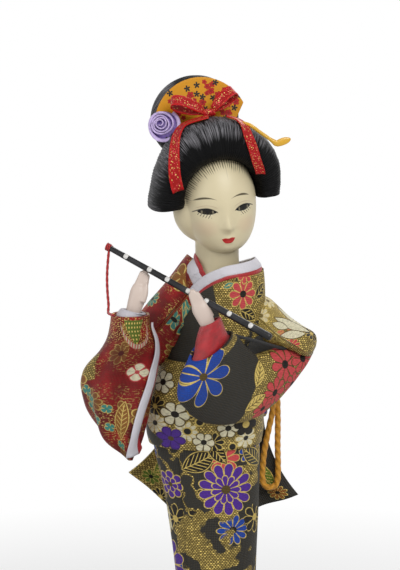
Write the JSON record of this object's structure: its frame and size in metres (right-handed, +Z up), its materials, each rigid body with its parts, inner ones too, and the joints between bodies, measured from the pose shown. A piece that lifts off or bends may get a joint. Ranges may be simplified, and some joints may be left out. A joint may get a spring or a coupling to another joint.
{
  "type": "geisha doll",
  "caption": "Standing doll in a brocade kimono, with a dressed head that turns, ribbons, a comb, a sliding hairpin and a flute held in both hands, on a lacquered stand.",
  "frame": {"origin": "centre of the underside of the stand, on the surface it rests on", "axes": "+Z up, the doll faces -Y, +X is the doll's own left"},
  "size_m": [0.1183, 0.124, 0.3599],
  "materials": {
    "lacquer": "black gloss lacquer",
    "felt": "dark green felt",
    "steel": "plain steel",
    "foam": "pressed wadding",
    "plug_wood": "bare wood",
    "skin": "ivory satin gofun paint",
    "eyes": "dark brown gloss",
    "hair": "black combed silk strands",
    "comb": "amber with red plum blossom",
    "ribbon": "red ribbon with gold glitter",
    "rose": "lilac satin ribbon",
    "pin": "yellow amber",
    "flute": "black lacquer with white dots",
    "red_cord": "red silk cord",
    "gold_cord": "gold twisted cord",
    "white_cloth": "white crepe",
    "red_cloth": "red satin",
    "red_brocade": "red brocade with gold thread",
    "dark_brocade": "charcoal brocade with gold thread",
    "gold_brocade": "gold brocade"
  },
  "bodies": {
    "doll": {"stand_base": "lacquer", "base_felt": "felt", "rod_washer": "steel", "rod_nut": "steel", "support_rod": "steel", "lower_former": "foam", "torso_former": "foam", "neck_plug": "plug_wood", "bodice_back": "red_brocade", "bodice_right": "red_brocade", "bodice_left": "dark_brocade", "collar_white_right": "white_cloth", "collar_piping_right": "red_cloth", "collar_white_left": "white_cloth", "collar_red_left": "red_cloth", "skirt": "dark_brocade", "skirt_overlap": "dark_brocade", "obi": "gold_brocade", "obi_bow": "gold_brocade", "obi_tail_right": "gold_brocade", "obi_tail_left": "gold_brocade", "obi_cord": "gold_cord", "sleeve_right_upper": "red_brocade", "sleeve_left_upper": "dark_brocade", "sleeve_right_bag": "red_brocade", "sleeve_left_bag": "dark_brocade", "sleeve_lining_right": "white_cloth", "cuff_right": "white_cloth", "cuff_left": "red_cloth", "arm_wire_right": "steel", "arm_wadding_right": "foam", "arm_wire_left": "steel", "arm_wadding_left": "foam", "hand_right": "skin", "hand_left": "skin", "flute_cord": "red_cord"},
    "head": {"head": "skin", "eye_right": "eyes", "eye_left": "eyes", "hair_front": "hair", "hair_back": "hair", "topknot": "hair", "comb": "comb", "bow_loop_right": "ribbon", "bow_loop_left": "ribbon", "bow_knot": "ribbon", "ribbon_tail_right": "ribbon", "ribbon_tail_left": "ribbon", "ribbon_rose": "rose"},
    "hairpin": {"hairpin": "pin"},
    "flute": {"flute": "flute", "flute_cord_knot": "red_cord"}
  },
  "joints": [
    {"name": "head_turn", "type": "hinge", "parent": "doll", "child": "head", "pos_m": [0, 0, 0.27], "axis": [0, 0, 1], "range_deg": [-25, 25]},
    {"name": "hairpin_slide", "type": "slide", "parent": "head", "child": "hairpin", "axis": [0.9195, -0.1679, -0.3555], "range_m": [0, 0.011]},
    {"name": "flute_slide", "type": "slide", "parent": "doll", "child": "flute", "axis": [0.8551, -0.288, -0.4311], "range_m": [0, 0.01], "deforming": ["flute_cord"]}
  ]
}
